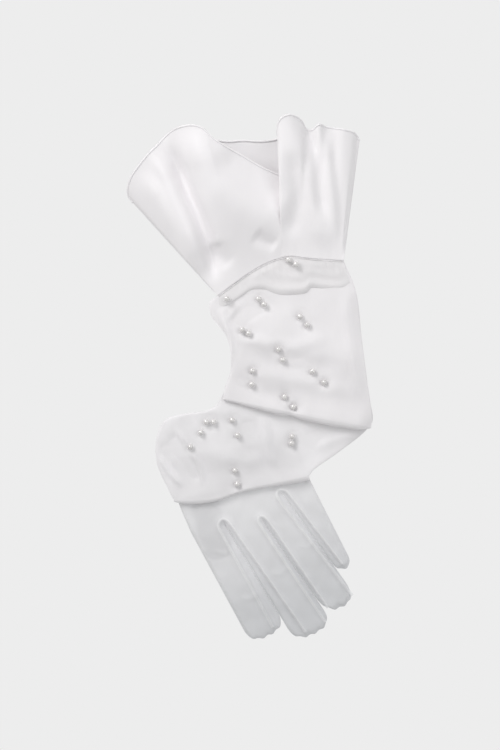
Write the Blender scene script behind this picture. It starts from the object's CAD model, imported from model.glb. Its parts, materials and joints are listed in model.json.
"""Long sheer wedding glove, folded flat on a table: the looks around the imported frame.

Lengths are in millimetres until a mesh is made. The glove lies with its fingers towards -Y and its
cuff towards +Y. Its tube turns under at two creases, so it is built as stretches of flattened tube.
"""
import json
import math
import bpy
import numpy as np
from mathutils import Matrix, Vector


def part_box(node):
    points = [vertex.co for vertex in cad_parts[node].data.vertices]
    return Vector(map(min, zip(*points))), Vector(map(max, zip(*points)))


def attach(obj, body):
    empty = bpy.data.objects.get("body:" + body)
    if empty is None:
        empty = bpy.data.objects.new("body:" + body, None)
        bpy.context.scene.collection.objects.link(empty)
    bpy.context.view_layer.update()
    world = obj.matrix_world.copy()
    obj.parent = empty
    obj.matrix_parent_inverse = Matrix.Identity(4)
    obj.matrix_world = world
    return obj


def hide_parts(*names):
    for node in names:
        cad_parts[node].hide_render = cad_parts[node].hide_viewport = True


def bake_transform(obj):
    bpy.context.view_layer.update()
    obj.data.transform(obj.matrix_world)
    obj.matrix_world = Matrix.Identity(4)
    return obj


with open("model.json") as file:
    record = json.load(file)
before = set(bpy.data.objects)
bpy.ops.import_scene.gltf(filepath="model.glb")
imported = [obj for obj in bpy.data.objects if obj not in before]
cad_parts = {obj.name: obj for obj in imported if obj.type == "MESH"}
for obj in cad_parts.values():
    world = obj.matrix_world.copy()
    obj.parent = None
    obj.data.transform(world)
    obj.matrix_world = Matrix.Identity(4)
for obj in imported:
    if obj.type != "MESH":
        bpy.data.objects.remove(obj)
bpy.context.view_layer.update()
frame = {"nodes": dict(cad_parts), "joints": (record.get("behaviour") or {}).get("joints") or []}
MM = 0.001

# ---------------- camera, light and floor
VIEW_W = 350.0            # width of the view at table level
VIEW_SHIFT_Y = 2.8        # the view's middle lies this far towards the cuff
CAMERA_HEIGHT = 1600.0
SENSOR_W = 36.0
FLOOR_SIDE = 4000.0
FLOOR_GREY = 0.8469       # linear value of a pale grey studio sweep
FLOOR_DROP = 0.6          # the floor lies this far below the glove
WORLD_STRENGTH = 0.54
KEY_POWER = 7.6
FILL_POWER = 3.1


def make_camera():
    data = bpy.data.cameras.new("camera")
    data.sensor_fit = "HORIZONTAL"
    data.sensor_width = SENSOR_W
    data.lens = SENSOR_W * CAMERA_HEIGHT / VIEW_W
    data.clip_end = 20
    camera = bpy.data.objects.new("camera", data)
    camera.location = (0, VIEW_SHIFT_Y * MM, CAMERA_HEIGHT * MM)
    bpy.context.scene.collection.objects.link(camera)
    bpy.context.scene.camera = camera


def make_light(name, place, aim, side, power, tint):
    data = bpy.data.lights.new(name, "AREA")
    data.shape = "SQUARE"
    data.size = side * MM
    data.energy = power
    data.color = tint
    light = bpy.data.objects.new(name, data)
    light.location = [v * MM for v in place]
    direction = np.array(aim, float) - np.array(place, float)
    light.rotation_euler = Vector(direction).to_track_quat("-Z", "Y").to_euler()
    bpy.context.scene.collection.objects.link(light)


def make_floor():
    material = bpy.data.materials.new("studio_floor")
    material.use_nodes = True
    nodes = material.node_tree.nodes
    nodes.clear()
    glow = nodes.new("ShaderNodeEmission")
    glow.inputs["Color"].default_value = (FLOOR_GREY, FLOOR_GREY, FLOOR_GREY, 1)
    out = nodes.new("ShaderNodeOutputMaterial")
    material.node_tree.links.new(glow.outputs[0], out.inputs["Surface"])
    half = FLOOR_SIDE / 2 * MM
    mesh = bpy.data.meshes.new("floor")
    corners = [(-half, -half, 0), (half, -half, 0), (half, half, 0), (-half, half, 0)]
    mesh.from_pydata(corners, [], [(0, 1, 2, 3)])
    mesh.materials.append(material)
    floor = bpy.data.objects.new("floor", mesh)
    floor.location.z = -FLOOR_DROP * MM
    bpy.context.scene.collection.objects.link(floor)


def make_world():
    world = bpy.data.worlds.new("studio")
    world.use_nodes = True
    background = world.node_tree.nodes["Background"]
    background.inputs["Color"].default_value = (1, 1, 1, 1)
    background.inputs["Strength"].default_value = WORLD_STRENGTH
    bpy.context.scene.world = world


bpy.context.scene.view_settings.view_transform = "Standard"
make_camera()
make_world()
make_light("key", (-620, 820, 720), (0, 40, 0), 560, KEY_POWER, (1, 0.985, 0.99))
make_light("fill", (750, 250, 950), (0, 0, 0), 800, FILL_POWER, (0.98, 0.985, 1))
make_floor()


# ---------------- plain maths
def ease(t):
    t = np.clip(t, 0, 1)
    return t * t * (3 - 2 * t)


def bell(x):
    return np.exp(-x * x)


NOISE_WAVES = 9
NOISE_RANGE = 4.2         # brings the sum of the waves to between about -1 and 1
STEPS_PER_POINT = 24      # how finely a smooth line is drawn


def wave_noise(x, y, scale, seed):
    """A smooth wandering surface between about -1 and 1, with features about scale across."""
    rng = np.random.default_rng(seed)
    total = np.zeros(np.broadcast(x, y).shape)
    for _ in range(NOISE_WAVES):
        angle = rng.uniform(0, math.pi)
        pitch = scale * rng.uniform(1.4, 3.2)
        phase = rng.uniform(0, 2 * math.pi)
        total += np.sin((x * math.cos(angle) + y * math.sin(angle)) * 2 * math.pi / pitch + phase)
    return total / NOISE_RANGE


def smooth_line(points, count=None):
    """A smooth curve through points. With a count it comes back at that many even steps."""
    points = np.array(points, float)
    padded = np.vstack([2 * points[0] - points[1], points, 2 * points[-1] - points[-2]])
    steps = np.linspace(0, len(points) - 1, STEPS_PER_POINT * len(points))
    i = np.minimum(steps.astype(int), len(points) - 2)
    t = (steps - i)[:, None]
    a, b, c, d = padded[i], padded[i + 1], padded[i + 2], padded[i + 3]
    line = 0.5 * (2 * b + (c - a) * t + (2 * a - 5 * b + 4 * c - d) * t**2 + (3 * b - a - 3 * c + d) * t**3)
    return line if count is None else at_shares(line, np.linspace(0, 1, count))


def line_length(line):
    """The length of a line in plan or in space."""
    return np.linalg.norm(np.diff(line, axis=0), axis=1).sum()


def at_shares(line, shares):
    """The places at these shares of a line's own length."""
    reach = np.concatenate([[0], np.cumsum(np.linalg.norm(np.diff(line[:, :2], axis=0), axis=1))])
    want = np.asarray(shares) * reach[-1]
    return np.stack([np.interp(want, reach, line[:, k]) for k in range(line.shape[1])], axis=-1)


def near_line(x, y, line):
    """For every place, its distance from a line and the share of the line where it is nearest."""
    line = np.array(line, float)
    best = np.full(x.shape, 1e9)
    share = np.zeros(x.shape)
    reach = np.concatenate([[0], np.cumsum(np.linalg.norm(np.diff(line, axis=0), axis=1))])
    for k in range(len(line) - 1):
        ax, ay = line[k]
        dx, dy = line[k + 1] - line[k]
        length2 = dx * dx + dy * dy
        t = np.clip(((x - ax) * dx + (y - ay) * dy) / length2, 0, 1)
        gap = np.hypot(x - ax - t * dx, y - ay - t * dy)
        closer = gap < best
        best = np.where(closer, gap, best)
        share = np.where(closer, (reach[k] + t * (reach[k + 1] - reach[k])) / reach[-1], share)
    return best, share


def fold(x, y, points, height, width):
    """A soft ridge along a line, or a valley where height is negative. It fades out at both ends."""
    gap, share = near_line(x, y, smooth_line(points, 24))
    return height * bell(gap / width) * ease(share * 4) * ease((1 - share) * 4)


def fold_sum(x, y, folds):
    total = 0.0
    for points, height, width in folds:
        total = total + fold(x, y, points, height, width)
    return total


# ---------------- the frame's own stations
def joint_facts(name):
    return next(joint for joint in frame["joints"] if joint["name"] == name)


class Station:
    """A straight line across the tube: a crease or a seam, with a width."""

    def __init__(self, joint_name, width, turned_about=False):
        joint = joint_facts(joint_name)
        axis = np.array(joint["axis"][:2], float)
        self.middle = np.array(joint["pos_m"][:2]) / MM
        self.across = -axis if turned_about else axis
        self.down = np.array([self.across[1], -self.across[0]])
        self.width = width

    def at(self, share, down=0.0):
        share = np.asarray(share, float)[..., None]
        down = np.asarray(down, float)[..., None]
        return self.middle + (share - 0.5) * self.width * self.across + down * self.down

    def below(self, x, y):
        """How far a place lies beyond the station, towards the fingers."""
        return (x - self.middle[0]) * self.down[0] + (y - self.middle[1]) * self.down[1]

    def share(self, x, y):
        reach = (x - self.middle[0]) * self.across[0] + (y - self.middle[1]) * self.across[1]
        return 0.5 + reach / self.width


seam = Station("cuff_turn_up", 91)
arm_crease = Station("arm_return", 105)
arm_turn = Station("arm_unfold", 82, turned_about=True)
wrist_crease = Station("wrist_return", 96)
wrist_turn = Station("wrist_unfold", 88, turned_about=True)


PLY_INSET = 0.15          # a cloth's own layer lies this far inside the panel it stands for


def top_of(node):
    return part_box(node)[1][2] / MM


def foot_of(node):
    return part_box(node)[0][2] / MM


def bowed(a, b, bows):
    """A smooth edge from a to b through places given as (share of the way, offset to the left)."""
    a, b = np.array(a), np.array(b)
    way = (b - a) / np.linalg.norm(b - a)
    side = np.array([-way[1], way[0]])
    return smooth_line([a] + [a + (b - a) * share + side * offset for share, offset in bows] + [b])


# ---------------- pearls hold the cloth down
PEARL_NODES = ("header_pearls", "upper_arm_pearls", "forearm_pearls")


BEAD_D = 4.0
BEAD_APART = 2.3          # a corner this far from every bead so far belongs to a new one
BEAD_REACH = 4.2          # all corners of a bead are this near to any one of them
BEAD_CAP = 0.8            # the corners in this height at a bead's top give its place
PINCH = 4.5               # the cloth is drawn to the seat of a bead within about this distance


def bead_places(node):
    """The top of every bead in a node of separate beads."""
    mesh = frame["nodes"][node].data
    corners = np.array([v.co for v in mesh.vertices]) / MM
    places = []
    for corner in corners:
        if not places or min(np.hypot(*(corner[:2] - place[:2])) for place in places) > BEAD_APART:
            gap = np.hypot(corners[:, 0] - corner[0], corners[:, 1] - corner[1])
            near = corners[gap < BEAD_REACH]
            top = near[near[:, 2] > near[:, 2].max() - BEAD_CAP]
            places.append(top.mean(axis=0))
    return np.array(places)


BEADS = {node: bead_places(node) for node in PEARL_NODES}


def seated(x, y, z, node):
    """The height z, drawn smoothly to the seat under every bead of a node."""
    for bead in BEADS[node]:
        near = bell(np.hypot(x - bead[0], y - bead[1]) / PINCH)
        z = z * (1 - near) + (bead[2] - BEAD_D) * near
    return z


# ---------------- meshes
def mesh_object(name, points, faces, material):
    mesh = bpy.data.meshes.new(name)
    mesh.from_pydata((np.asarray(points) * MM).tolist(), [], faces)
    mesh.polygons.foreach_set("use_smooth", [True] * len(mesh.polygons))
    mesh.materials.append(material)
    mesh.update()
    obj = bpy.data.objects.new(name, mesh)
    bpy.context.scene.collection.objects.link(obj)
    return obj


def grid_object(name, grid, material, facing_up=True):
    """One sheet over a grid of places, [row, column, xyz]."""
    rows, cols = grid.shape[:2]
    index = np.arange(rows * cols).reshape(rows, cols)
    corners = [index[:-1, :-1], index[:-1, 1:], index[1:, 1:], index[1:, :-1]]
    quads = np.stack(corners, axis=-1).reshape(-1, 4)
    a, b = grid[:-1, 1:] - grid[:-1, :-1], grid[1:, :-1] - grid[:-1, :-1]
    up = np.sum(a[..., 0] * b[..., 1] - a[..., 1] * b[..., 0]) > 0
    if up != facing_up:
        quads = quads[:, ::-1]
    return mesh_object(name, grid.reshape(-1, 3), quads.tolist(), material)


def tube_object(name, lines, radius, material, sides=8):
    """Round threads or rolls along lines of places, closed at both ends."""
    points, faces = [], []
    for line in lines:
        line = np.array(line, float)
        way = np.gradient(line, axis=0)
        way /= np.linalg.norm(way, axis=1)[:, None]
        flat = np.cross(way, [0, 0, 1.0])
        flat /= np.maximum(np.linalg.norm(flat, axis=1), 1e-6)[:, None]
        high = np.cross(flat, way)
        first = len(points)
        for k in range(len(line)):
            for s in range(sides):
                turn = 2 * math.pi * s / sides
                points.append(line[k] + radius * (flat[k] * math.cos(turn) + high[k] * math.sin(turn)))
        for k in range(len(line) - 1):
            for s in range(sides):
                a = first + k * sides + s
                b = first + k * sides + (s + 1) % sides
                faces.append((a, b, b + sides, a + sides))
        faces.append(tuple(first + s for s in reversed(range(sides))))
        faces.append(tuple(first + (len(line) - 1) * sides + s for s in range(sides)))
    return mesh_object(name, points, faces, material)


def outline_cut(plan, across, down):
    """The flat cut of a panel from its outline in plan: enclosing width and length, and area.

    It is the finished size, without seam allowances. Folds and puffs aren't in it, so the finished cloth's
    area over this one shows only what they add. It isn't a test of the size itself.
    """
    edge = np.concatenate([plan[0], plan[1:, -1], plan[-1, ::-1][1:], plan[::-1, 0][1:]])
    x, y = edge[:, 0], edge[:, 1]
    area = abs(np.sum(x * np.roll(y, -1) - y * np.roll(x, -1))) / 2
    return np.ptp(edge @ across), np.ptp(edge @ down), area


# Every sheet of cloth: how it is held, its flat cut in millimetres, and what is sewn to it
SHEETS = {}


def note_sheet(obj, held, cut):
    SHEETS[obj.name] = {"held": held, "cut": cut, "sewn_on": []}


def sew_on(obj, sheet_name):
    """A strip too narrow to be a sheet of its own goes with the sheet it is sewn to."""
    SHEETS[sheet_name]["sewn_on"].append(obj.name)


def blend_in_plan(obj):
    """The cloth bends from one body to the next between two places in plan, at a height in metres."""
    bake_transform(obj)


def stand_in(obj, node, body):
    """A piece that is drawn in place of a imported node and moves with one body."""
    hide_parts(node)
    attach(obj, body)


def thicken(obj, thickness):
    modifier = obj.modifiers.new("thickness", "SOLIDIFY")
    modifier.thickness = thickness * MM
    modifier.offset = 0


# ---------------- materials
HAND_DEGREES = 26.6       # how far the hand's own directions are turned on the table


def new_material(name):
    material = bpy.data.materials.new(name)
    material.use_nodes = True
    return material, material.node_tree.nodes, material.node_tree.links


def set_inputs(node, **values):
    """Set a shader node's inputs. An underscore in a name stands for a space."""
    for name, value in values.items():
        node.inputs[name.replace("_", " ")].default_value = value


WAVE_PITCH = 0.314        # metres between the bands of a wave texture whose scale is 1


def woven_bump(nodes, links, angle, pitch, strength):
    """Two crossed sets of threads, as a bump. Pitch is the distance between threads."""
    place = nodes.new("ShaderNodeTexCoord")
    turn = nodes.new("ShaderNodeMapping")
    turn.inputs["Rotation"].default_value[2] = math.radians(angle)
    links.new(place.outputs["Object"], turn.inputs["Vector"])
    sets = []
    for axis in ("X", "Y"):
        threads = nodes.new("ShaderNodeTexWave")
        threads.bands_direction = axis
        set_inputs(threads, Scale=WAVE_PITCH / (pitch * MM), Distortion=0.6, Detail=1)
        links.new(turn.outputs[0], threads.inputs["Vector"])
        sets.append(threads)
    mix = nodes.new("ShaderNodeMath")
    mix.operation = "MAXIMUM"
    links.new(sets[0].outputs["Fac"], mix.inputs[0])
    links.new(sets[1].outputs["Fac"], mix.inputs[1])
    bump = nodes.new("ShaderNodeBump")
    set_inputs(bump, Strength=strength, Distance=0.1 * MM)
    links.new(mix.outputs[0], bump.inputs["Height"])
    return bump, turn


def ramp_between(nodes, low, high, start=0.0, end=1.0):
    ramp = nodes.new("ShaderNodeValToRGB")
    for element, position, tint in zip(ramp.color_ramp.elements, (start, end), (low, high)):
        element.position = position
        element.color = (*tint, 1)
    return ramp


def mottled(nodes, links, vector, scale, low, high, stretch=(1, 1, 1)):
    """A colour that wanders between two tints, as uneven threads and double plies make it."""
    spread = nodes.new("ShaderNodeMapping")
    spread.inputs["Scale"].default_value = stretch
    links.new(vector, spread.inputs["Vector"])
    noise = nodes.new("ShaderNodeTexNoise")
    set_inputs(noise, Scale=scale, Detail=4)
    links.new(spread.outputs[0], noise.inputs["Vector"])
    ramp = ramp_between(nodes, low, high, 0.35, 0.65)
    links.new(noise.outputs["Fac"], ramp.inputs["Fac"])
    return ramp


def woven_cloth(name, low, high, angle, weave, mottle, **inputs):
    """Woven cloth. weave is (pitch, strength) and mottle is (scale, stretch along the threads)."""
    material, nodes, links = new_material(name)
    shader = nodes["Principled BSDF"]
    bump, turn = woven_bump(nodes, links, angle, *weave)
    tint = mottled(nodes, links, turn.outputs[0], mottle[0], low, high, (1, mottle[1], 1))
    links.new(tint.outputs["Color"], shader.inputs["Base Color"])
    links.new(bump.outputs[0], shader.inputs["Normal"])
    set_inputs(shader, **inputs)
    return material


def organza(name, low, high, angle, alpha):
    return woven_cloth(name, low, high, angle, (0.45, 0.25), (60, 0.25), Roughness=0.55,
                       Specular_IOR_Level=0.25, Sheen_Weight=0.25, Sheen_Roughness=0.4, Alpha=alpha)


def finger_organza(name, light, dark, from_place, to_place, alpha):
    """Sheer cloth whose tint goes from light at one place to dark at another."""
    material = organza(name, (0.95, 0.95, 0.95), (1, 1, 1), HAND_DEGREES, alpha)
    nodes, links = material.node_tree.nodes, material.node_tree.links
    mottle = next(node for node in nodes if node.type == "VALTORGB")
    place = nodes.new("ShaderNodeTexCoord")
    aim = nodes.new("ShaderNodeVectorMath")
    aim.operation = "SUBTRACT"
    aim.inputs[1].default_value = [v * MM for v in from_place] + [0]
    links.new(place.outputs["Object"], aim.inputs[0])
    way = np.array(to_place) - np.array(from_place)
    way = way / (way @ way) / MM
    along = nodes.new("ShaderNodeVectorMath")
    along.operation = "DOT_PRODUCT"
    along.inputs[1].default_value = (way[0], way[1], 0)
    links.new(aim.outputs[0], along.inputs[0])
    ramp = ramp_between(nodes, light, dark)
    ramp.color_ramp.interpolation = "EASE"
    links.new(along.outputs["Value"], ramp.inputs["Fac"])
    mix = nodes.new("ShaderNodeMix")
    mix.data_type = "RGBA"
    mix.blend_type = "MULTIPLY"
    mix.inputs["Factor"].default_value = 1
    links.new(ramp.outputs["Color"], mix.inputs["A"])
    links.new(mottle.outputs["Color"], mix.inputs["B"])
    links.new(mix.outputs["Result"], nodes["Principled BSDF"].inputs["Base Color"])
    return material


def satin(name, low, high):
    return woven_cloth(name, low, high, 15, (0.3, 0.08), (25, 0.3), Roughness=0.52,
                       Specular_IOR_Level=0.32, Sheen_Weight=0.15)


def speckled(name, scale, low, high, **inputs):
    material, nodes, links = new_material(name)
    shader = nodes["Principled BSDF"]
    place = nodes.new("ShaderNodeTexCoord")
    tint = mottled(nodes, links, place.outputs["Object"], scale, low, high)
    links.new(tint.outputs["Color"], shader.inputs["Base Color"])
    set_inputs(shader, **inputs)
    return material


ARM_CLOTH = organza("arm_organza", (0.91, 0.895, 0.905), (0.94, 0.925, 0.935), 7, 0.82)
FOREARM_CLOTH = organza("forearm_organza", (0.88, 0.87, 0.88), (0.92, 0.91, 0.92), -24, 0.8)
HEADER_CLOTH = organza("header_organza", (0.89, 0.88, 0.885), (0.93, 0.915, 0.92), 15, 0.74)
SATIN = satin("cuff_satin", (0.83, 0.815, 0.825), (0.88, 0.865, 0.875))
PEARL = speckled("pearl", 500, (0.70, 0.69, 0.68), (0.84, 0.825, 0.81), Roughness=0.22, Metallic=0.3,
                 Coat_Weight=0.8, Coat_Roughness=0.05)
THREAD = speckled("thread", 900, (0.82, 0.82, 0.83), (0.93, 0.93, 0.93), Roughness=0.6)

# ---------------- edges of the tube
SEAM_BOW = [(0.33, 11), (0.57, 13.6), (0.78, 7)]
UPPER_LEFT_BOW = [(0.06, -6), (0.2, -5), (0.42, 5), (0.7, 6.5), (0.9, 1.5)]
UPPER_RIGHT_BOW = [(0.2, 5), (0.5, 3.5), (0.75, 2.5), (0.92, 2)]
FOREARM_LEFT_BOW = [(0.35, 1), (0.45, -4), (0.52, -17), (0.6, -28), (0.72, -28.5), (0.85, -21), (0.96, -6)]
FOREARM_RIGHT_BOW = [(0.2, 14), (0.36, 23.5), (0.44, 23.5), (0.54, 20.5), (0.74, 11.2), (0.92, 2)]

upper_left = bowed(seam.at(0), arm_crease.at(0), UPPER_LEFT_BOW)
upper_right = bowed(seam.at(1), arm_crease.at(1), UPPER_RIGHT_BOW)
forearm_left = bowed(arm_turn.at(0), wrist_crease.at(0), FOREARM_LEFT_BOW)
forearm_right = bowed(arm_turn.at(1), wrist_crease.at(1), FOREARM_RIGHT_BOW)
seam_line = bowed(seam.at(0), seam.at(1), SEAM_BOW)


def round_steps(count):
    """Shares from 0 to 1 that crowd towards both ends, where the tube's edge is round."""
    return 0.5 - 0.5 * np.cos(np.linspace(0, math.pi, count))


def side_drop(u, width, edge=2.5):
    """0 over the flat of a tube and 1 at its folded side edges, which are edge millimetres round."""
    gap = np.minimum(u, 1 - u) * width
    inside = np.clip(gap / edge, 0, 1)
    return 1 - np.sqrt(1 - (1 - inside) ** 2)


def ruled_plan(top_line, bottom_line, left, right, cols, rows):
    """A plan grid between four edges (a Coons patch), with each place's share of the way across."""
    u = round_steps(cols)
    v = np.linspace(0, 1, rows)
    top, bottom = at_shares(top_line, u), at_shares(bottom_line, u)
    lefts, rights = at_shares(left, v), at_shares(right, v)
    across, down = u[None, :, None], v[:, None, None]
    sides = (1 - across) * lefts[:, None] + across * rights[:, None]
    ends = (1 - down) * top[None] + down * bottom[None]
    corners = ((1 - across) * (1 - down) * top[0] + across * (1 - down) * top[-1]
               + (1 - across) * down * bottom[0] + across * down * bottom[-1])
    plan = sides + ends - corners
    return plan, np.broadcast_to(u, plan.shape[:2])


def station_line(station, bulges=((0.5, 0),)):
    """A crease as a line that bulges beyond its station, given as (share across, how far)."""
    return smooth_line([station.at(0)] + [station.at(s, d) for s, d in bulges] + [station.at(1)])


ARM_BULGES = ((0.3, 0.5), (0.7, 1.0))
WRIST_BULGES = ((0.12, 2.5), (0.3, 4.0), (0.55, 1.0), (0.8, 0.5))
arm_line = station_line(arm_crease, ARM_BULGES)
wrist_line = station_line(wrist_crease, WRIST_BULGES)


# Folds are listed as (places along the fold, height, width); a valley has a height below 0
UPPER_ARM_FOLDS = (
    ([(-24, 40), (-4, 30), (28, 22), (60, 32)], 1.3, 5),
    ([(-14, 14), (10, 3), (45, -3), (80, -12)], 1.6, 6),
    ([(-10, 26), (12, 14), (40, 10), (74, 12)], -0.8, 6),
    ([(66, 66), (68, 36), (74, 0), (80, -20)], 1.3, 3.5),
    ([(-23, 62), (-19, 44), (-14, 26), (-14, 8)], 1.8, 2.6),
    ([(-28, 58), (-24, 44), (-19, 28)], -1.2, 2.2),
    ([(-18, 44), (-6, 54), (4, 62)], 1.3, 3.5),
    ([(-14, 34), (2, 46), (20, 56)], -1.0, 4),
    ([(-15, 2), (8, -10), (26, -12)], -1.0, 5),
    ([(20, 52), (34, 40), (46, 20), (50, 4)], 0.9, 7),
    ([(-6, 66), (-13, 56), (-20, 44)], 0.8, 1.8),
    ([(-2, 62), (-9, 51), (-17, 39)], 0.7, 1.8),
    ([(-12, 64), (-18, 56), (-24, 46)], -0.7, 1.8),
)


ARM_SIDE_W = 90.0         # the arm's usual width, for how wide its round side edges are


def with_height(plan, z):
    return np.concatenate([plan, z[..., None]], axis=-1)


# ---------------- upper arm
def upper_arm_top_z(x, y, u):
    base = top_of("upper_arm_top_panel")
    near_crease = np.clip(-arm_crease.below(x, y), 0, None)
    share = arm_crease.share(x, y)
    lip_ends = ease((share - 0.02) / 0.4) * ease((1.02 - share) / 0.12)
    lip = 4.0 * lip_ends * np.exp(-(near_crease / 11) ** 1.5)
    soft = 0.55 * wave_noise(x, y, 24, 3) + 0.25 * wave_noise(x, y, 10, 4)
    folds = fold_sum(x, y, UPPER_ARM_FOLDS)
    below_header = ease((seam.below(x, y) - 4) / 16)
    z = base + 0.7 + soft + folds * below_header + lip
    z = seated(x, y, np.maximum(z, base), "upper_arm_pearls")
    return z - 1.2 * side_drop(u, ARM_SIDE_W, 4)


FOREARM_FOLDS = (
    ([(8, -22), (11, -36), (13, -52), (20, -64)], 1.8, 3.5),
    ([(-4, -26), (-2, -42), (2, -58)], -0.8, 5),
    ([(-52, -33), (-46, -44), (-36, -60), (-32, -76)], 1.5, 2.0),
    ([(-55, -36), (-50, -48), (-41, -62), (-36, -74)], -2.0, 4),
    ([(-63, -52), (-57, -64), (-46, -76)], 1.4, 2.0),
    ([(-60, -42), (-58, -56), (-50, -68)], -1.0, 3),
    ([(-36, -48), (-14, -56), (12, -56)], 1.1, 7),
    ([(44, -50), (60, -42), (76, -36)], 1.2, 4),
    ([(28, -34), (42, -40), (56, -36)], -0.7, 6),
)


def make_arm_stretch(body, ruled, top_z, station, cloth):
    """The top and under cloth of one long stretch of the arm."""
    plan, u = ruled
    x, y = plan[..., 0], plan[..., 1]
    top = grid_object(f"{body}_top_cloth", with_height(plan, top_z(x, y, u)), cloth)
    under_z = foot_of(f"{body}_under_panel") + PLY_INSET + 0.4 * side_drop(u, ARM_SIDE_W)
    under = grid_object(f"{body}_under_cloth", with_height(plan, under_z), cloth, False)
    for obj, ply in ((top, "top"), (under, "under")):
        stand_in(obj, f"{body}_{ply}_panel", body)
        note_sheet(obj, "laid", outline_cut(plan, station.across, station.down))


# ---------------- forearm
def forearm_top_z(x, y, u):
    base = top_of("forearm_top_panel")
    past_arm = ease((arm_crease.below(x, y) + 0.5) / 12)
    near_wrist = np.clip(-wrist_crease.below(x, y), 0, None)
    share = wrist_crease.share(x, y)
    lip_h = 1.9 + 1.1 * wave_noise(x, y, 30, 15)
    lip = lip_h * ease((share + 0.1) / 0.3) * np.exp(-(near_wrist / 9) ** 1.5)
    soft = 0.5 * wave_noise(x, y, 20, 13) + 0.25 * wave_noise(x, y, 9, 14)
    folds = fold_sum(x, y, FOREARM_FOLDS)
    z = base + 0.6 * past_arm + (soft + folds) * past_arm + lip
    z = seated(x, y, np.where(past_arm > 0, np.maximum(z, base), base), "forearm_pearls")
    return z - 1.0 * side_drop(u, ARM_SIDE_W, 4)


# ---------------- the hidden returns
def make_return(body, turn, crease, crease_edge, cloth):
    """The short stretch of tube that runs back between a crease and the turn above it."""
    left = smooth_line([turn.at(0), crease.at(0)])
    right = smooth_line([turn.at(1), crease.at(1)])
    plan, u = ruled_plan(station_line(turn), crease_edge, left, right, 40, 24)
    for ply in ("top", "under"):
        node = f"{body}_{ply}_panel"
        level = top_of(node) - PLY_INSET if ply == "top" else foot_of(node) + PLY_INSET
        grid = with_height(plan, np.full(u.shape, level))
        obj = grid_object(f"{body}_{ply}_cloth", grid, cloth, ply == "top")
        stand_in(obj, node, body)
        note_sheet(obj, "folded", outline_cut(plan, crease.across, crease.down))


# ---------------- the round turns at the creases
TURN_STEPS = 10


def make_turn(name, high_body, line, outward, low_z, high_z, cloth):
    """The cloth's half-round turn from one stretch to the next, along a crease."""
    high_z = np.broadcast_to(high_z, (len(line),))
    grid = []
    radius, middle = (high_z - low_z) / 2, (high_z + low_z) / 2
    for k in range(TURN_STEPS + 1):
        angle = math.pi * k / TURN_STEPS
        plan = line + outward * (radius * math.sin(angle))[:, None]
        grid.append(with_height(plan, middle + radius * math.cos(angle)))
    obj = grid_object(name, np.array(grid), cloth)
    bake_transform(obj)
    sew_on(obj, f"{high_body}_top_cloth")


CREASES = (
    ("arm", "upper_arm", arm_line, arm_crease, upper_arm_top_z, 110, ARM_CLOTH),
    ("wrist", "forearm", wrist_line, wrist_crease, forearm_top_z, 120, FOREARM_CLOTH),
)
HIDDEN_TURNS = (
    ("forearm", "arm_fold", arm_turn, "forearm_under_panel"),
    ("hand", "wrist_fold", wrist_turn, "hand_palm_panel"),
)


def make_turns():
    for name, high_body, edge, crease, top_z, count, cloth in CREASES:
        u = round_steps(count)
        line = at_shares(edge, u)
        low_z = foot_of(f"{name}_fold_under_panel") + PLY_INSET
        high_z = top_z(line[:, 0], line[:, 1], u)
        make_turn(f"{name}_crease_turn", high_body, line, crease.down, low_z, high_z, cloth)
    for low_body, high_body, turn, low_node in HIDDEN_TURNS:
        line = at_shares(station_line(turn), round_steps(40))
        make_turn(f"{high_body}_turn", high_body, line, -turn.down, foot_of(low_node) + PLY_INSET,
                  top_of(f"{high_body}_top_panel") - PLY_INSET, FOREARM_CLOTH)


upper_arm_plan = ruled_plan(seam_line, arm_line, upper_left, upper_right, 110, 120)
arm_turn_line = station_line(arm_turn)
forearm_plan = ruled_plan(arm_turn_line, wrist_line, forearm_left, forearm_right, 120, 130)
make_arm_stretch("upper_arm", upper_arm_plan, upper_arm_top_z, seam, ARM_CLOTH)
make_arm_stretch("forearm", forearm_plan, forearm_top_z, arm_turn, FOREARM_CLOTH)
make_return("arm_fold", arm_turn, arm_crease, arm_line, ARM_CLOTH)
make_return("wrist_fold", wrist_turn, wrist_crease, wrist_line, FOREARM_CLOTH)
make_turns()

# ---------------- hand and fingers
FINGERS = ("index", "middle", "ring", "little")
HAND_ANGLE = math.radians(HAND_DEGREES)
P_WAY = np.array([math.cos(HAND_ANGLE), math.sin(HAND_ANGLE)])
Q_WAY = np.array([math.sin(HAND_ANGLE), -math.cos(HAND_ANGLE)])
HAND_ORIGIN = wrist_turn.middle - 7 * P_WAY - 3 * Q_WAY
PALM_W = 90.0
KNUCKLE_Q = (46.0, 54.0, 53.0, 48.0)
FINGER_LEN = (85.0, 90.0, 83.0, 65.0)
FINGER_W = (23.2, 23.1, 21.3, 20.6)
TIP_W = (26.8, 27.8, 23.4, 8.0)
TIP_DEPTH = (12.0, 12.5, 17.0, 8.0)
TIP_BLUNTNESS = 2.6
TIP_SHIFT = 2.5
WEB_LINE_Q = 50.0
TIP_LINE_Q = 130.0
FINGER_GAP = (PALM_W - sum(FINGER_W)) / 3
VISIBLE_GAP = 0.1         # the cloth of neighbouring fingers nearly meets
# Each seam line as (distance from the web's middle at the web, and at the tips)
SEAM_OFFSETS = {
    "outer": ((0, 0), (3.4, 9.0), (3.1, 3.3), (3.9, 6.2)),
    "inner": ((5.0, 8.4), (3.2, 3.8), (4.1, 1.8), (0, 0)),
}
WEB_PEAK_Q = (43.5, 53.5, 43.0)
WEB_ROUND = 6.5           # how far beyond a web its seam is still turning
HAND_END_Q = 42.0         # the hand's own cloth ends here, just before the first web
HAND_LOW = foot_of("hand_palm_panel")
HAND_TOP = top_of("hand_back_panel")
HAND_MIDDLE = (HAND_LOW + HAND_TOP) / 2


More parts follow.
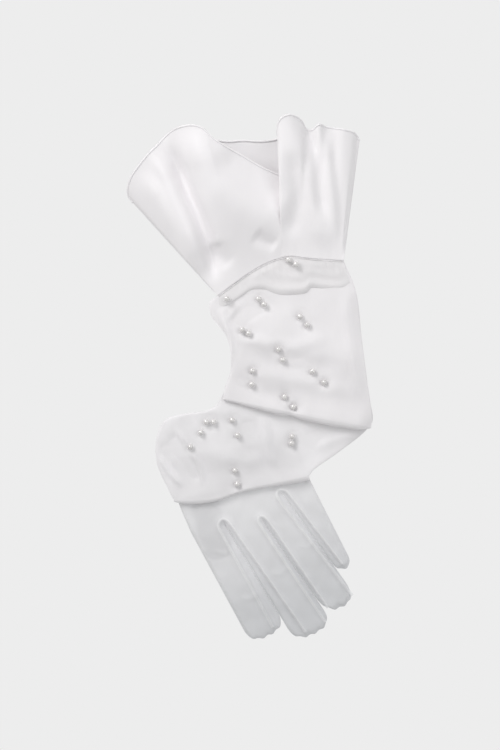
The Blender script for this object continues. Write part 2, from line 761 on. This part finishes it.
def round_edge(gap, reach=3.0):
    """0 at a free edge, rising like a quarter round to 1 at reach millimetres from it."""
    return np.sqrt(1 - (1 - np.clip(gap / reach, 0, 1)) ** 2)


def in_hand(p, q):
    return HAND_ORIGIN + np.asarray(p, float)[..., None] * P_WAY + np.asarray(q, float)[..., None] * Q_WAY


def from_hand(x, y, way):
    """How far a place on the table lies from the hand's origin along one of the hand's directions."""
    return (x - HAND_ORIGIN[0]) * way[0] + (y - HAND_ORIGIN[1]) * way[1]


def tip_share(q):
    return (np.asarray(q, float) - WEB_LINE_Q) / (TIP_LINE_Q - WEB_LINE_Q)


def side_p(k, q):
    """The line between finger k - 1 and finger k, across the hand, at a distance q towards the tips."""
    web = -PALM_W / 2 + sum(FINGER_W[:k]) + (k - 0.5) * FINGER_GAP
    tip = -PALM_W / 2 + TIP_SHIFT + sum(TIP_W[:k]) + (k - 0.5) * FINGER_GAP
    return web + (tip - web) * tip_share(q)


def finger_p(i, share, q):
    """A place across finger i. Neighbouring fingers touch as far as the web and part beyond it."""
    outer_gap = 0 if i == 0 else VISIBLE_GAP * ease((q - WEB_PEAK_Q[i - 1]) / 3)
    inner_gap = 0 if i == 3 else VISIBLE_GAP * ease((q - WEB_PEAK_Q[i]) / 3)
    low, high = side_p(i, q) + outer_gap / 2, side_p(i + 1, q) - inner_gap / 2
    return low + (high - low) * share


def seam_offset(i, side, q):
    """How far a seam is from the middle of its web. It is round where it goes round the web."""
    web, tip = SEAM_OFFSETS[side][i]
    free_side = (i, side) in ((0, "outer"), (3, "inner"))
    peak = 0 if free_side else WEB_PEAK_Q[i if side == "inner" else i - 1]
    straight = web + (tip - web) * np.clip(tip_share(q), 0, 1.1)
    return straight * round_edge(np.asarray(q) - peak, WEB_ROUND)


def seam_shares(i, q):
    """Where a finger's back panel ends and its fourchettes begin, as shares of its width."""
    width = finger_p(i, 1, q) - finger_p(i, 0, q)
    outer = seam_offset(i, "outer", q) / width
    inner = 1 - seam_offset(i, "inner", q) / width
    return outer, inner


TIP_END = 4.0             # the side seams end this far before a fingertip
WEB_TOP = 4.0             # the seam round a web starts to turn this far beyond the web


def web_seam(k):
    """The seam round the web between fingers k and k + 1: up one finger, round the web, down the other."""
    peak = WEB_PEAK_Q[k]
    q_left = np.linspace(KNUCKLE_Q[k] + FINGER_LEN[k] - TIP_END, peak + WEB_TOP, 14)
    q_right = np.linspace(peak + WEB_TOP, KNUCKLE_Q[k + 1] + FINGER_LEN[k + 1] - TIP_END, 14)
    left = [(side_p(k + 1, q) - seam_offset(k, "inner", q), q) for q in q_left]
    right = [(side_p(k + 1, q) + seam_offset(k + 1, "outer", q), q) for q in q_right]
    near = peak + 1.2
    top = [(side_p(k + 1, near) - seam_offset(k, "inner", near), near), (side_p(k + 1, peak), peak),
           (side_p(k + 1, near) + seam_offset(k + 1, "outer", near), near)]
    return smooth_line(left + top + right, 120)


WEB_SEAMS = [web_seam(k) for k in range(3)]
RIDGE_H = 1.1
RIDGE_W = 2.2
GUSSET_DROP = 1.0


def seam_ridges(p, q):
    """The raised seams round the webs."""
    total = np.zeros(p.shape)
    for line in WEB_SEAMS:
        gap, _ = near_line(p, q, line)
        total = np.maximum(total, RIDGE_H * bell(gap / RIDGE_W))
    return total


def gusset_depth(p, q):
    """0 on the backs of the fingers, 1 in the gussets between their seams."""
    depth = np.zeros(p.shape)
    for k in range(3):
        middle = side_p(k + 1, q)
        left = middle - seam_offset(k, "inner", q)
        right = middle + seam_offset(k + 1, "outer", q)
        inside = ease((p - left) / 2.0) * ease((right - p) / 2.0) * ease((q - WEB_PEAK_Q[k]) / 5)
        depth = np.maximum(depth, inside)
    return depth


def back_height(x, y):
    """How full the hand lies over its middle: flat at the wrist crease, fuller over the knuckles."""
    return 1.0 + 2.3 * ease((wrist_crease.below(x, y) - 1) / 24)


HAND_WRINKLES = (
    ([(-38, 60), (-30, 66), (-24, 64)], 0.5, 1.6),
    ([(-36, 98), (-28, 102), (-20, 100)], 0.5, 1.8),
    ([(-10, 92), (-2, 96), (6, 93)], 0.5, 1.8),
    ([(16, 84), (24, 88), (30, 84)], 0.4, 1.6),
    ([(-30, 20), (-10, 26), (10, 20)], 0.6, 3.0),
    ([(0, 32), (18, 28), (34, 34)], 0.5, 2.5),
)


def hand_top_z(x, y, edge=1.0):
    """The height of the hand's back. edge goes to 0 at its free edges."""
    p, q = from_hand(x, y, P_WAY), from_hand(x, y, Q_WAY)
    past_wrist = ease(wrist_crease.below(x, y) / 12)
    soft = (0.45 * wave_noise(x, y, 17, 23) + 0.2 * wave_noise(x, y, 7, 24)) * past_wrist
    tendons = 0.0
    for i in range(4):
        line = [(finger_p(i, 0.5, r), r) for r in (10.0 + 6 * i, 50.0, 90.0, 120.0)]
        gap, _ = near_line(p, q, line)
        tendons = tendons + 0.55 * bell(gap / 6.5)
    wrinkles = fold_sum(p, q, HAND_WRINKLES)
    full = back_height(x, y) + soft + tendons + wrinkles + seam_ridges(p, q)
    full = full - GUSSET_DROP * gusset_depth(p, q)
    return HAND_MIDDLE + np.maximum(full, 0.35) * edge


def palm_z(edge):
    """The height of the palm side, which rises to the middle of the hand at its free edges."""
    return HAND_LOW + PLY_INSET + (HAND_MIDDLE - HAND_LOW - PLY_INSET) * (1 - edge)


COLUMNS_PER_FINGER = 34
GUSSET_COLUMNS = 12
PALM_COLUMNS = 24
GUSSET_START = 0.02       # a gusset starts this far beyond its web
HAND_ROWS = 70
TIP_ROWS = 18             # rows in the round of a fingertip
TIP_WAVE = 0.6            # how far a fingertip's edge wanders
WEB_CLOSED = 0.8          # how far a finger's edge closes down beside its neighbour


def make_hand(cloth):
    left_edge = bowed(wrist_turn.at(0), in_hand(side_p(0, HAND_END_Q), HAND_END_Q), [(0.5, -3)])
    u = np.linspace(0, 1, 4 * COLUMNS_PER_FINGER)
    first, last = side_p(0, HAND_END_Q), side_p(4, HAND_END_Q)
    ends = in_hand(first + (last - first) * u, np.full(u.shape, HAND_END_Q))
    starts = wrist_turn.at(u)
    v = np.linspace(0, 1, HAND_ROWS)[:, None, None]
    plan = starts[None] + (ends - starts)[None] * v
    lefts = at_shares(left_edge, np.linspace(0, 1, HAND_ROWS))
    plan = plan + (lefts - plan[:, 0])[:, None, :] * ((1 - u) ** 2)[None, :, None]
    x, y = plan[..., 0], plan[..., 1]
    share = np.broadcast_to(u, x.shape)
    edge = round_edge(share * PALM_W) * round_edge((1 - share) * PALM_W)
    top = grid_object("hand_back_cloth", with_height(plan, hand_top_z(x, y, edge)), cloth)
    under = grid_object("hand_palm_cloth", with_height(plan, palm_z(edge)), cloth, False)
    for obj, ply in ((top, "back"), (under, "palm")):
        stand_in(obj, f"hand_{ply}_panel", "hand")
        note_sheet(obj, "laid", outline_cut(plan, P_WAY, Q_WAY))


def finger_rows(i, start_q, count=80):
    """Rows along a finger, closer together where the tip is round, with how wide each row still is."""
    tip_q = KNUCKLE_Q[i] + FINGER_LEN[i]
    round_q = tip_q - TIP_DEPTH[i]
    straight = np.linspace(start_q, round_q, count - TIP_ROWS)
    turned = np.linspace(0, 1, TIP_ROWS + 1)[1:]
    q = np.concatenate([straight, round_q + TIP_DEPTH[i] * np.sin(turned * math.pi / 2)])
    past = np.clip((q - round_q) / TIP_DEPTH[i], 0, 1)
    keep = np.maximum(1 - past**TIP_BLUNTNESS, 0) ** (1 / TIP_BLUNTNESS)
    return q, np.maximum(keep, 0.03)


def finger_strip(i, part, cols, start_q=HAND_END_Q):
    """The grid of one strip of a finger: its back, its palm, or its outer or inner gusset."""
    q, keep = finger_rows(i, start_q)
    outer_seam, inner_seam = seam_shares(i, q)
    low = {"back": outer_seam, "inner": inner_seam}.get(part, np.zeros(q.shape))
    high = {"back": inner_seam, "outer": outer_seam}.get(part, np.ones(q.shape))
    steps = np.linspace(0, 1, cols)
    share = low[:, None] + (high - low)[:, None] * steps[None]
    kept = 0.5 + (share - 0.5) * keep[:, None]
    row_q = np.broadcast_to(q[:, None], share.shape)
    p = finger_p(i, kept, row_q)
    near_tip = ease((row_q - (q[-1] - TIP_DEPTH[i])) / TIP_DEPTH[i])
    plan = in_hand(p, row_q + TIP_WAVE * np.sin(p * 0.9 + i) * near_tip)
    x, y = plan[..., 0], plan[..., 1]
    width = finger_p(i, 1, row_q) - finger_p(i, 0, row_q)
    outer = round_edge(share * width)
    inner = round_edge((1 - share) * width)
    if i > 0:
        outer = 1 - (1 - outer) * ease((row_q - WEB_PEAK_Q[i - 1]) / 10) * WEB_CLOSED
    if i < 3:
        inner = 1 - (1 - inner) * ease((row_q - WEB_PEAK_Q[i]) / 10) * WEB_CLOSED
    edge = outer * inner * round_edge(q[-1] - row_q, 5.0)
    return with_height(plan, hand_top_z(x, y, edge)), edge


def finger_blend(obj):
    blend_in_plan(obj)


def finger_cloth(i, label, node, grid, cloth, facing_up=True):
    obj = grid_object(f"{FINGERS[i]}_{label}", grid, cloth, facing_up)
    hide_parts(f"{FINGERS[i]}_{node}")
    finger_blend(obj)
    return obj


def make_finger(i, cloth, gusset_cloth):
    grid, _ = finger_strip(i, "back", COLUMNS_PER_FINGER)
    back = finger_cloth(i, "back_cloth", "back_panel", grid, cloth)
    note_sheet(back, "laid", outline_cut(grid[..., :2], P_WAY, Q_WAY))
    for side, web in (("outer", i - 1), ("inner", i)):
        if 0 <= web < 3:
            grid, _ = finger_strip(i, side, GUSSET_COLUMNS, WEB_PEAK_Q[web] + GUSSET_START)
            gusset = finger_cloth(i, f"{side}_fourchette_cloth", f"{side}_fourchette", grid, gusset_cloth)
            sew_on(gusset, back.name)
    grid, edge = finger_strip(i, "palm", PALM_COLUMNS)
    grid[..., 2] = palm_z(edge)
    palm = finger_cloth(i, "palm_cloth", "palm_panel", grid, cloth, False)
    note_sheet(palm, "laid", outline_cut(grid[..., :2], P_WAY, Q_WAY))


SEAM_BAND_W = 2.0


def make_web_seams():
    """The seam allowances round the webs, seen through the sheer cloth as paler bands."""
    for k, line in enumerate(WEB_SEAMS):
        middle = int(np.argmin(line[:, 1]))
        for side, finger, part in (("inner", k, line[:middle + 1]), ("outer", k + 1, line[middle:])):
            way = np.gradient(part, axis=0)
            way /= np.linalg.norm(way, axis=1)[:, None]
            across = np.stack([-way[:, 1], way[:, 0]], axis=1)
            shift = np.linspace(-0.5, 0.5, 7)[:, None, None] * SEAM_BAND_W
            places = part[None] + across[None] * shift
            plan = in_hand(places[..., 0], places[..., 1])
            arch = 0.12 * (1 - (2 * np.abs(shift[..., 0]) / SEAM_BAND_W) ** 2)
            z = hand_top_z(plan[..., 0], plan[..., 1]) + 0.05 + arch
            name = f"{FINGERS[finger]}_{side}_seam_band"
            obj = grid_object(name, with_height(plan, z), SEAM_BAND)
            finger_blend(obj)
            sew_on(obj, f"{FINGERS[finger]}_back_cloth")


THUMB_LEN = 58.0
THUMB_W = 20.0
THUMB_LEAN = math.radians(10)
THUMB_ROOT = in_hand(-25, 12)
THUMB_ROWS = 44
THUMB_COLUMNS = 20


def make_thumb(cloth):
    way = -math.sin(THUMB_LEAN) * P_WAY + math.cos(THUMB_LEAN) * Q_WAY
    side = math.cos(THUMB_LEAN) * P_WAY + math.sin(THUMB_LEAN) * Q_WAY
    reach = np.linspace(0, 1, THUMB_ROWS) * THUMB_LEN
    past = np.clip((reach - (THUMB_LEN - THUMB_W / 2)) / (THUMB_W / 2), 0, 1)
    keep = np.maximum(np.sqrt(1 - past**2), 0.03)
    spread = round_steps(THUMB_COLUMNS) - 0.5
    sideways = keep[:, None] * spread[None] * THUMB_W
    plan = THUMB_ROOT + reach[:, None, None] * way + sideways[..., None] * side
    rim = side_drop(np.broadcast_to(spread + 0.5, (THUMB_ROWS, THUMB_COLUMNS)), THUMB_W)
    closing = np.maximum(rim, (1 - keep)[:, None] ** 2)
    bottom, top = foot_of("thumb_palm_panel"), top_of("thumb_back_panel")
    middle = (bottom + top) / 2
    for ply, level in (("back", top - PLY_INSET), ("palm", bottom + PLY_INSET)):
        grid = with_height(plan, level + (middle - level) * closing)
        obj = grid_object(f"thumb_{ply}_cloth", grid, cloth, ply == "back")
        stand_in(obj, f"thumb_{ply}_panel", "thumb")
        note_sheet(obj, "folded", outline_cut(plan, side, way))


TIPS_PLACE = in_hand(0, 138)
KNUCKLE_PLACE = in_hand(0, 45)
HAND_CLOTH = finger_organza("hand_organza", (0.84, 0.84, 0.85), (0.69, 0.70, 0.715),
                            KNUCKLE_PLACE, TIPS_PLACE, 0.7)
GUSSET_CLOTH = finger_organza("gusset_organza", (0.85, 0.85, 0.865), (0.68, 0.69, 0.705),
                              KNUCKLE_PLACE, TIPS_PLACE, 0.7)
SEAM_BAND = finger_organza("seam_organza", (0.95, 0.95, 0.955), (0.82, 0.825, 0.835),
                           KNUCKLE_PLACE, TIPS_PLACE, 0.68)
make_hand(HAND_CLOTH)
for number in range(4):
    make_finger(number, HAND_CLOTH, GUSSET_CLOTH)
make_web_seams()
make_thumb(HAND_CLOTH)

# ---------------- cuff
HEM_W = 166.0
CUFF_LEN = 83.0
CUFF_LEAN = 3.0           # the cuff leans this many degrees from the seam's own direction
HEM_LEAN = -3.2           # and its hem this many degrees from the seam's line


def turned(vector, degrees):
    angle = math.radians(degrees)
    turn = np.array([[math.cos(angle), -math.sin(angle)], [math.sin(angle), math.cos(angle)]])
    return turn @ vector


SEAM_UP = -seam.down
HEM_MIDDLE = seam.middle + turned(0.5 * seam.across + CUFF_LEN * SEAM_UP, CUFF_LEAN)
HEM_ACROSS = turned(seam.across, HEM_LEAN)
HEM_UP = turned(SEAM_UP, HEM_LEAN)

# The front panel's hem, as (share across, how far beyond the hem corners, height, share along the seam)
FRONT_HEM = [
    (0.012, -8.5, 1.2, 0.000), (0.000, -3.0, 3.0, 0.002), (0.006, 2.5, 5.5, 0.004),
    (0.030, 9.0, 8.0, 0.008), (0.070, 15.0, 10.0, 0.012), (0.120, 21.5, 11.0, 0.020),
    (0.170, 27.0, 9.0, 0.030), (0.210, 31.5, 8.5, 0.045), (0.260, 34.5, 13.0, 0.080),
    (0.320, 34.0, 18.0, 0.140), (0.365, 30.0, 19.0, 0.200), (0.395, 22.5, 18.0, 0.240),
    (0.440, 15.0, 16.5, 0.290), (0.500, 6.5, 14.0, 0.360), (0.570, -4.0, 11.0, 0.440),
    (0.630, -11.0, 8.0, 0.500), (0.668, -14.0, 5.0, 0.535), (0.684, -4.0, 6.0, 0.545),
    (0.672, 8.0, 12.0, 0.542), (0.667, 17.0, 18.0, 0.548), (0.690, 24.5, 21.5, 0.575),
    (0.735, 26.0, 21.0, 0.615), (0.773, 21.5, 15.0, 0.660), (0.788, 15.5, 8.5, 0.700),
    (0.815, 13.5, 10.5, 0.750), (0.845, 16.0, 13.5, 0.800), (0.870, 13.8, 9.5, 0.840),
    (0.905, 11.5, 8.0, 0.890), (0.945, 9.0, 8.5, 0.935), (0.985, 5.5, 5.0, 0.980),
    (1.000, 0.0, 1.2, 1.000),
]
# The back panel's hem, as (share across, how far beyond the hem corners)
BACK_HEM = [
    (0.00, -4.0), (0.04, 7.0), (0.12, 17.0), (0.20, 25.0), (0.30, 27.0), (0.38, 24.0), (0.45, 19.5),
    (0.52, 17.5), (0.60, 14.0), (0.67, 13.5), (0.75, 16.0), (0.84, 12.5), (0.92, 9.0), (1.00, 0.0),
]


def hem_place(share, crown):
    share, crown = np.asarray(share, float)[..., None], np.asarray(crown, float)[..., None]
    return HEM_MIDDLE + (share - 0.5) * HEM_W * HEM_ACROSS + crown * HEM_UP


# The hem's small waves die out away from the hem: they are averaged over this many columns each way
CALM_COLUMNS = 22
CALM_BELL = np.hanning(2 * CALM_COLUMNS + 3)[1:-1]
CALM_WEIGHTS = CALM_BELL / CALM_BELL.sum()


# The folds that fan out over the front of the cuff
CUFF_FOLDS = (
    ([(-60, 166), (-51, 150), (-42.5, 129), (-33.5, 108), (-27.5, 87), (-23, 62)], -6.8, 4.5),
    ([(-50, 166), (-43, 150), (-35, 129), (-27, 108), (-21, 87), (-18, 64)], -3.4, 10),
    ([(-70, 160), (-60, 145), (-51.5, 125), (-42.5, 104), (-35, 82)], 3.4, 5),
    ([(-36, 176), (-37, 153), (-32, 125), (-26, 97), (-19, 70)], 4.6, 13),
    ([(-76, 146), (-63, 126), (-45.5, 97), (-31.5, 70)], 3.0, 7),
    ([(-22, 160), (3, 138), (26, 122)], -2.4, 10),
    ([(-28, 140), (-4, 120), (24, 104)], 1.3, 13),
    ([(-25, 96), (-21, 86), (-13, 77)], -1.9, 5.5),
    ([(2, 101), (10, 96), (19, 91)], -1.9, 5),
    ([(33, 182), (37, 155), (41, 131), (48, 104), (55, 80)], 3.0, 7.5),
    ([(26, 160), (31, 141), (33, 125), (30, 108), (29, 94)], -2.3, 5.5),
    ([(41, 176), (47, 152), (48, 131), (52, 108)], -2.6, 4.5),
    ([(50, 176), (54, 152), (58, 122), (61, 88)], 2.0, 5),
    ([(58, 172), (59, 150), (62, 119), (64, 88)], -1.6, 4),
)


GATHER_H = 0.08           # height of the fine gathers beside the seam
GATHERS = 13
BILLOW_H = 5.5            # how high the middle of the cuff stands over its edges


def cuff_front_grid(cols=260, rows=90):
    controls = smooth_line(FRONT_HEM)
    plan_line = hem_place(controls[:, 0], controls[:, 1])
    full = np.concatenate([plan_line, controls[:, 2:]], axis=1)
    hem = at_shares(full, np.linspace(0, 1, cols))
    base = at_shares(seam_line, np.clip(hem[:, 3], 0, 1))
    v = np.linspace(0, 1, rows)[:, None]
    seam_top = top_of("upper_arm_top_panel") + 0.9
    spread = v[..., None]
    plan = (1 - spread) * base[None] + spread * hem[None, :, :2]
    x, y = plan[..., 0], plan[..., 1]
    rise = ease(np.clip(v * 1.25, 0, 1)) * 0.55 + v * 0.45
    calm = np.convolve(np.pad(hem[:, 2], CALM_COLUMNS, mode="edge"), CALM_WEIGHTS, mode="valid")
    hem_z = calm[None] + (hem[:, 2] - calm)[None] * v**2.7
    z = seam_top + (hem_z - seam_top) * rise
    column = np.linspace(0, 1, cols)[None]
    billow = BILLOW_H * np.sin(math.pi * np.clip(v, 0, 1)) ** 1.3 * np.sin(math.pi * column) ** 0.7
    z = z + billow
    z = z + fold_sum(x, y, CUFF_FOLDS) * ease(v * 4 + 0.1)
    near_seam = np.exp(-v * 9)
    share = hem[None, :, 3]
    gathers = np.sin(share * 2 * math.pi * GATHERS + 1.3 * np.sin(share * 21))
    z = z + GATHER_H * gathers * near_seam
    z = z + 0.2 * wave_noise(x, y, 18, 31) * ease(v * 3)
    side = ease(np.minimum(column, 1 - column) / 0.03)
    floor_z = np.maximum(seam_top - 6.5 * ease(v / 0.3), 1.2)
    z = floor_z + (z - floor_z) * side
    return with_height(plan, np.maximum(z, 0.9))


def cuff_back_grid(cols=130, rows=60):
    controls = smooth_line(BACK_HEM)
    hem = at_shares(hem_place(controls[:, 0], controls[:, 1]), np.linspace(0, 1, cols))
    base = at_shares(seam_line, np.linspace(0, 1, cols))
    v = np.linspace(0, 1, rows)[:, None]
    plan = (1 - v[..., None]) * base[None] + v[..., None] * hem[None]
    x, y = plan[..., 0], plan[..., 1]
    seam_low = foot_of("upper_arm_under_panel") + 0.4
    z = seam_low * (1 - ease(v / 0.3)) + 0.45
    z = z + 1.1 * (1 + wave_noise(x, y, 20, 37)) * 0.5 * ease(v * 2 - 0.7)
    return with_height(plan, np.maximum(z, 0.4))


def cuff_blend(obj):
    blend_in_plan(obj)


CUFF_CUT_LEN = 98.0       # a guess: from the seam to the middle of the scallops


def flared_cut(hem_line):
    """The guessed flat cut of a cuff panel: ungathered at the seam, its hem as long as the wavy hem line."""
    hem_cut = line_length(hem_line)
    return hem_cut, CUFF_CUT_LEN, (line_length(seam_line) + hem_cut) / 2 * CUFF_CUT_LEN


SATIN_THICKNESS = 0.45
HEM_ROLL_R = 0.75


def make_cuff():
    grids = {"front": cuff_front_grid(), "back": cuff_back_grid()}
    hems = {"front": grids["front"][-1], "back": grids["back"][-1] + [0, 0, 0.3]}
    nodes = {"front": "cuff_top", "back": "cuff_under"}
    for side, grid in grids.items():
        panel = grid_object(f"cuff_{side}_satin", grid, SATIN, side == "front")
        thicken(panel, SATIN_THICKNESS)
        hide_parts(f"{nodes[side]}_panel")
        cuff_blend(panel)
        note_sheet(panel, "laid", flared_cut(grid[-1]))
    for side, hem in hems.items():
        roll = tube_object(f"cuff_{side}_hem_roll", [hem], HEM_ROLL_R, SATIN, 10)
        stand_in(roll, f"{nodes[side]}_hem", "cuff")
        sew_on(roll, f"cuff_{side}_satin")


make_cuff()

# ---------------- gathered header below the seam
# The header's free edge, as (share along the seam's chord, millimetres below it)
HEADER_EDGE = [
    (-0.02, 9.7), (0.08, 7.2), (0.17, 4.7), (0.26, 2.4), (0.35, 4.6), (0.44, 10.1),
    (0.55, 13.4), (0.65, 14.9), (0.71, 12.4), (0.8, 15.5), (0.93, 18.2), (1.0, 16.5),
]
# The header's cut is taken to be a plain strip, a little wider than its seam. Both numbers are guesses.
HEADER_GATHER = 1.1
HEADER_CUT_LEN = 20.0
HEADER_LIP = 5.0          # the header's free edge and its seam are round over this distance


def header_grid(cols=220, rows=60):
    u = np.linspace(0, 1, cols)
    top = at_shares(seam_line, 0.005 + 0.99 * u) + 0.6 * seam.down
    low_line = smooth_line([seam.at(share, drop) for share, drop in HEADER_EDGE])
    low = at_shares(low_line, u)
    v = np.linspace(0, 1, rows)[:, None]
    plan = low[None] + (top - low)[None] * v[..., None]
    x, y = plan[..., 0], plan[..., 1]
    base = top_of("upper_arm_top_panel")
    depth = np.linalg.norm(top - low, axis=1)[None]
    round_lip = round_edge(v * depth, HEADER_LIP)
    tuck = ease((1 - v) * depth / HEADER_LIP)
    puff = (0.35 + 1.0 * ease(depth / 16)) * (1 - 0.6 * ease((u[None] - 0.68) / 0.25))
    pleats = 0.22 * np.sin(u * 88 + 2.6 * np.sin(u * 13))[None] * ease(v * 1.6 - 0.5)
    ripples = 0.45 * np.sin(v * depth * 0.6 + 2.6 * wave_noise(x, y, 26, 43)) * (1 - v) ** 1.2
    slow = 0.4 * wave_noise(x, y, 12, 41)
    ends = ease(np.minimum(u, 1 - u) * 16)[None]
    z = base + 0.7 + (puff + pleats + ripples + slow) * (0.15 + 0.85 * ends) * (0.35 + 0.65 * tuck)
    z = base + 0.15 + (z - base - 0.15) * round_lip
    z = seated(x, y, z, "header_pearls")
    return with_height(plan, np.maximum(z, base + 0.12))


def make_header():
    grid = header_grid()
    obj = grid_object("arm_header_cloth", grid, HEADER_CLOTH)
    stand_in(obj, "arm_header", "upper_arm")
    cut_w = line_length(seam_line) * HEADER_GATHER
    note_sheet(obj, "gathered", (cut_w, HEADER_CUT_LEN, cut_w * HEADER_CUT_LEN))
    piping = tube_object("cuff_seam_piping", [grid[-1] + [0, 0, 0.1]], 0.35, HEADER_CLOTH, 8)
    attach(piping, "upper_arm")
    sew_on(piping, obj.name)


make_header()

# ---------------- CAD pieces that stay
THREAD_NODES = ("header_pearl_threads", "upper_arm_pearl_threads", "forearm_pearl_threads")
HIDDEN_NODES = ("upper_arm_seam_allowance", "forearm_seam_allowance", "hand_seam_allowance", "arm_elastic")


def give_material(nodes, material):
    for node in nodes:
        slots = frame["nodes"][node].data.materials
        slots.clear()
        slots.append(material)


give_material(PEARL_NODES, PEARL)
give_material(THREAD_NODES, THREAD)
give_material(HIDDEN_NODES, ARM_CLOTH)

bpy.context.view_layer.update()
